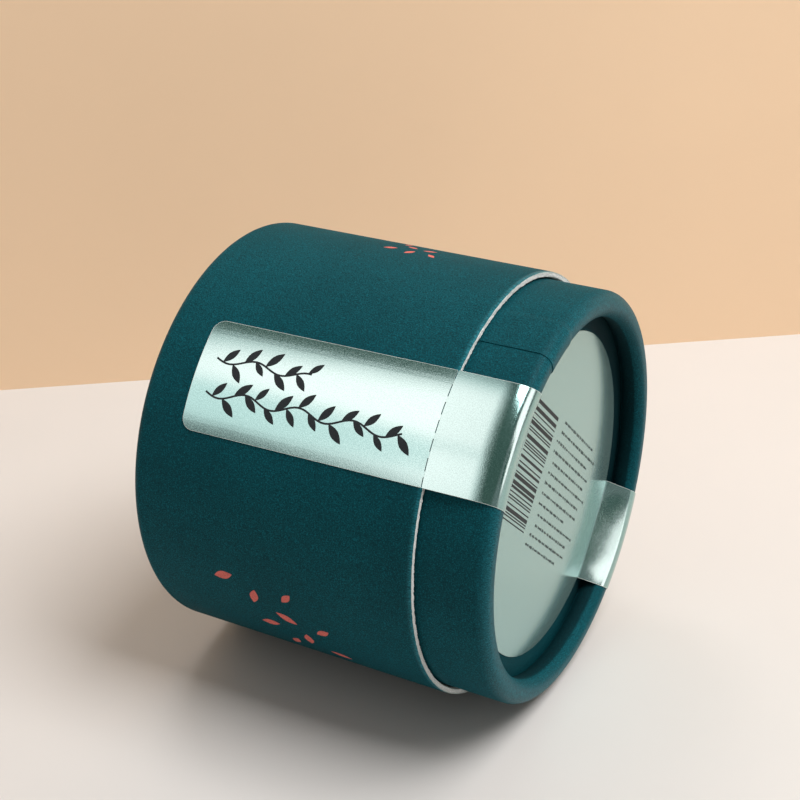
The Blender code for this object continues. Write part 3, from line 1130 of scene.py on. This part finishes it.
def stroke(bm, points, wide):
    """A stroke of even width through points of flat art."""
    count = len(points) - 1
    made = bmesh.ops.create_grid(bm, x_segments=1, y_segments=count, size=1)["verts"]
    for vert in made:
        index = round((vert.co.y + 1) / 2 * count)
        before, after = points[max(index - 1, 0)], points[min(index + 1, count)]
        run = (Vector(after) - Vector(before)).normalized()
        side = Vector((run.y, -run.x)) * (vert.co.x * wide / 2)
        vert.co = (points[index][0] + side.x, points[index][1] + side.y, 0)


def box_of_ink(bm, low_across, high_across, low_along, high_along):
    """A bar or a dash in flat art."""
    made = bmesh.ops.create_grid(bm, x_segments=1, y_segments=1, size=0.5)["verts"]
    width, height = high_across - low_across, high_along - low_along
    bmesh.ops.scale(bm, vec=(width, height, 1), verts=made)
    middle = ((low_across + high_across) / 2, (low_along + high_along) / 2, 0)
    bmesh.ops.translate(bm, vec=middle, verts=made)


def panel_art():
    """Two rows of a generic vine with leaves, for the panel."""
    bm = bmesh.new()
    rng = random.Random(5)
    for middle, start, end, sway, size in VINES:
        steps = round((end - start) / VINE_STEP)
        points = [
            (middle + sway * math.sin(i * VINE_WAVE), start + (end - start) * i / steps)
            for i in range(steps + 1)
        ]
        stroke(bm, points, VINE_WIDTH)
        for i in range(2, steps, 3):
            side = 1 if (i // 3) % 2 else -1
            long = size * rng.uniform(0.85, 1.1)
            tilt = -side * math.radians(rng.uniform(40, 52))
            reach = long / 2
            across = points[i][0] - math.sin(tilt) * reach
            along = points[i][1] + math.cos(tilt) * reach
            leaf(bm, across, along, tilt, long, long * LEAF_SHARE)
    return bm


def lay_art_on_panel(bm):
    """Bends flat art on to the panel of the seal."""
    cut_at(bm, seal_columns(), Vector((1, 0, 0)))
    lift = seal().lift + seal().thickness + PRINT_LIFT + VINE_LIFT
    for vert in bm.verts:
        across, along = vert.co.x, vert.co.y
        vert.co = seal_point(tube().cover_radius + lift, along, across + panel_drift(along))
    face_outwards(bm)


def bars_art():
    """A block of plain bars of mixed widths: x runs across, y along."""
    bm = bmesh.new()
    rng = random.Random(11)
    across, last = BARS_ACROSS
    while across < last:
        wide = rng.choice(BAR_WIDTHS)
        box_of_ink(bm, across, across + wide, *BARS_ALONG)
        across += wide + rng.choice(BAR_GAPS)
    return bm


def rows_art():
    """Rows of plain dashes, as small print looks from afar."""
    bm = bmesh.new()
    rng = random.Random(3)
    for i in range(DASH_ROWS):
        across = DASHES_ACROSS + i * DASH_PITCH
        along = rng.uniform(0.0050, 0.0076)
        end = rng.uniform(-0.021, -0.011)
        while along > end:
            for _ in range(rng.randint(2, 6)):
                long = rng.uniform(0.00014, 0.00034)
                tall = rng.uniform(0.0003, 0.0007)
                box_of_ink(bm, across - tall / 2, across + tall / 2, along - long, along)
                along -= long + DASH_GAP
            along -= WORD_GAP
    return bm


def lay_art_on_end(bm):
    """Lays flat art on the round label."""
    height = tube_half("base").face + seal().lift + seal().thickness + PRINT_LIFT
    for vert in bm.verts:
        vert.co = label_point(vert.co.y, vert.co.x, height)
    face_outwards(bm, away_from_axis=False)


def coral_art():
    """Scattered seed shapes: x is the way round the cover from the horizontal, y along."""
    bm = bmesh.new()
    for degrees, along, tilt, long in SEEDS:
        across = -math.radians(degrees) * tube().cover_radius
        leaf(bm, across, along, math.radians(tilt), long, long * SEED_SHARE)
    return bm


def lay_art_round_cover(bm):
    """Wraps flat art round the cover; across is measured from the horizontal."""
    radius = tube().cover_radius
    reach = [vert.co.x for vert in bm.verts]
    first, last = math.floor(min(reach) / BEND_STEP), math.ceil(max(reach) / BEND_STEP)
    cut_at(bm, [i * BEND_STEP for i in range(first, last)], Vector((1, 0, 0)))
    for vert in bm.verts:
        angle = around(-vert.co.x / radius)
        vert.co = turned(radius + PRINT_LIFT, vert.co.y, angle)
    face_outwards(bm)


class TUBE_OT_print(bpy.types.Operator):
    """Print the foil and the cover with plain generic motifs"""

    bl_idname = "tube_box.print"
    bl_label = "Print"

    def execute(self, context):
        for name, art, lay, body, slot, ink_name in (
            ("panel_vine_print", panel_art, lay_art_on_panel, "cover", "foil", "charcoal_ink"),
            ("label_bars_print", bars_art, lay_art_on_end, "base", "foil", "charcoal_ink"),
            ("label_rows_print", rows_art, lay_art_on_end, "base", "foil", "charcoal_ink"),
            ("cover_seeds_print", coral_art, lay_art_round_cover, "cover", "wrap", "coral_ink"),
        ):
            bm = art()
            lay(bm)
            thicken(finish(name, bm, body, [], [finished(ink_name)] * 2), INK, 1.0)
        return {"FINISHED"}


# Stage


STAGE_REACH = 1.6
# Middle of the backdrop, its turn about the vertical, and its height as a share of its width
WALL_PLACE, WALL_TURN, WALL_SHARE = (-0.0073, 0.1774, 0.2), math.radians(37.8), 0.125
# Each lamp's side and place
KEY_SIDE, KEY_PLACE = 0.5, (0.38, 0.04, 0.84)
BACK_SIDE, BACK_PLACE = 0.22, (-0.36, 0.25, 0.82)
# The camera's place from the joint and its view, both fitted to the photograph
CAMERA_PLACE, CAMERA_VIEW = (0.11129, -0.25594, 0.20128), (-0.4254, 0.7902, -0.4412)

BACKGROUND = (0.86, 0.82, 0.78)
SOFTBOX, HALO = (3.15, 2.3, 2.27), (1.35, 1.3, 1.27)
LAMP, GLOW = (3.2, 2.35, 2.32), (1.7, 1.6, 1.57)
DARK_CARD, DIM = (0.12, 0.17, 0.145), (0.05, 0.085, 0.08)
# Softboxes and dark cards round the object: each fills the overlap of some cones, given by their
# direction and their inner and outer half angle in degrees
SURROUNDINGS = (
    (DIM, (((0, 0, 1), 35, 70),)),
    (DARK_CARD, (((0.35, -0.61, 0.71), 32, 40),)),
    (HALO, (((-0.22, -0.62, 0.75), 25, 34), ((-1, 0, 0), 76, 90))),
    (SOFTBOX, (((-0.22, -0.62, 0.75), 18, 29), ((-1, 0, 0), 73, 88))),
    (HALO, (((-0.23, -0.86, 0.45), 10, 18), ((-1, 0, 0), 76, 90))),
    (SOFTBOX, (((-0.23, -0.86, 0.45), 8, 16), ((-1, 0, 0), 73, 88))),
    (GLOW, (((-0.52, -0.70, 0.49), 4, 14),)),
    (DARK_CARD, (((-0.47, -0.02, 0.88), 8, 16),)),
    (LAMP, (((0.95, 0.08, 0.26), 17, 22), ((0, 1, 0), 95, 98))),
    (DARK_CARD, (((0.969, -0.136, 0.208), 7.5, 9.5),)),
)


def plain(name, tint, roughness):
    """A plain matte surface with a faint unevenness."""
    recipe = Recipe(name, roughness)
    cloud = recipe.speckle(recipe.here(), 9, 3)
    return recipe.done(recipe.mix(cloud, shade(tint, 0.96), shade(tint, 1.04)))


def see_through_from_behind(material):
    """Lets the views from behind the backdrop see the object."""
    nodes = Nodes(material.node_tree)
    blend = nodes.add("MixShader")
    nodes.give(blend.inputs[0], nodes.add("NewGeometry").outputs["Backfacing"])
    nodes.give(blend.inputs[1], nodes.tree.nodes["Principled BSDF"].outputs[0])
    nodes.give(blend.inputs[2], nodes.add("BsdfTransparent").outputs[0])
    nodes.give(nodes.tree.nodes["Material Output"].inputs["Surface"], blend.outputs[0])


def stage_sheet(name, matrix, material):
    """A flat sheet of the stage, far larger than the object."""
    bm = bmesh.new()
    bmesh.ops.create_grid(bm, x_segments=1, y_segments=1, size=STAGE_REACH)
    bm.transform(matrix)
    mesh = bpy.data.meshes.new(name)
    bm.to_mesh(mesh)
    bm.free()
    mesh.materials.append(material)
    sheet = bpy.data.objects.new(name, mesh)
    bpy.context.scene.collection.objects.link(sheet)
    return sheet


def lamp(name, energy, side, place):
    """A soft square lamp that points at the object's middle."""
    data = bpy.data.lights.new(name, "AREA")
    data.shape = "RECTANGLE"
    data.size = data.size_y = side
    data.energy = energy
    aim = Vector((0, 0, tube().axis_height)) - Vector(place)
    made = bpy.data.objects.new(name, data)
    made.location = place
    made.rotation_euler = aim.to_track_quat("-Z", "Y").to_euler()
    bpy.context.scene.collection.objects.link(made)


def soft_room(strength):
    """An even room; mirror-like reflections see lamps and cards in it, the camera a pale colour."""
    world = bpy.data.worlds.new("room")
    world.use_nodes = True
    room = Nodes(world.node_tree)
    way = room.add("TexCoord").outputs["Generated"]

    def share_of(direction, inner, outer):
        edge, core = math.cos(math.radians(outer)), math.cos(math.radians(inner))
        return room.spread(room.along(way, Vector(direction).normalized()), edge, core)

    even = (strength, strength * 0.97, strength * 0.94)
    light = even
    for tint, cones in SURROUNDINGS:
        share = share_of(*cones[0])
        for cone in cones[1:]:
            share = room.maths("MULTIPLY", share, share_of(*cone))
        light = room.mix(share, light, tint)
    rays = room.add("LightPath").outputs
    seen = room.mix(rays["Is Glossy Ray"], even, light)
    seen = room.mix(rays["Is Camera Ray"], seen, BACKGROUND)
    room.give(world.node_tree.nodes["Background"].inputs["Color"], seen)
    return world


class TUBE_OT_stage(bpy.types.Operator):
    """Set the floor, backdrop, lamps and camera"""

    bl_idname = "tube_box.stage"
    bl_label = "Stage"

    def execute(self, context):
        scene = context.scene
        stage = scene.tube_box_stage
        floor = plain("plain_floor", stage.floor, 0.6)
        wall = plain("plain_backdrop", stage.wall, 0.8)
        see_through_from_behind(wall)
        stage_sheet("floor", Matrix.Identity(4), floor)
        wall_place = (
            Matrix.Translation(WALL_PLACE)
            @ Matrix.Rotation(WALL_TURN, 4, "Z")
            @ Matrix.Rotation(math.pi / 2, 4, "X")
            @ Matrix.Diagonal((1.0, WALL_SHARE, 1.0, 1.0))
        )
        stage_sheet("backdrop", wall_place, wall).visible_shadow = False
        lamp("key", stage.key, KEY_SIDE, KEY_PLACE)
        lamp("back", stage.back, BACK_SIDE, BACK_PLACE)
        scene.world = soft_room(stage.room)

        data = bpy.data.cameras.new("camera")
        data.lens = stage.lens
        data.sensor_width = 36.0
        data.clip_start = 0.01
        camera = bpy.data.objects.new("camera", data)
        camera.location = Vector((tube().joint_x, 0, 0)) + Vector(CAMERA_PLACE)
        camera.rotation_euler = Vector(CAMERA_VIEW).to_track_quat("-Z", "Y").to_euler()
        scene.collection.objects.link(camera)
        scene.camera = camera
        scene.view_settings.view_transform = "Standard"
        return {"FINISHED"}


# Sidebar and running


class TUBE_PT_sidebar(bpy.types.Panel):
    """Lists the steps that dress the tube"""

    bl_idname = "TUBE_PT_sidebar"
    bl_label = "Tube Box"
    bl_space_type = "VIEW_3D"
    bl_region_type = "UI"
    bl_category = "Tube Box"

    def draw(self, context):
        for step in STEPS:
            self.layout.operator(step.bl_idname)
        for group in GROUPS:
            column = self.layout.column(align=True)
            owner = getattr(context.scene, group)
            for name in GROUPS[group].__annotations__:
                column.prop(owner, name)


STEPS = (
    TUBE_OT_wraps, TUBE_OT_boards, TUBE_OT_linings, TUBE_OT_seal, TUBE_OT_print, TUBE_OT_stage
)
GROUPS = {
    "tube_box_tube": TubeSizes,
    "tube_box_seal": SealSizes,
    "tube_box_colours": FinishColours,
    "tube_box_stage": StageSizes,
}


def register():
    for made in (*GROUPS.values(), *STEPS, TUBE_PT_sidebar):
        bpy.utils.register_class(made)
    for name, group in GROUPS.items():
        setattr(bpy.types.Scene, name, PointerProperty(type=group))


def unregister():
    for name in GROUPS:
        delattr(bpy.types.Scene, name)
    for made in (TUBE_PT_sidebar, *STEPS[::-1], *GROUPS.values()):
        bpy.utils.unregister_class(made)


def main():
    register()
    bpy.ops.tube_box.wraps()
    bpy.ops.tube_box.boards()
    bpy.ops.tube_box.linings()
    bpy.ops.tube_box.seal()
    bpy.ops.tube_box.print()
    bpy.ops.tube_box.stage()


if __name__ == "__main__":
    main()
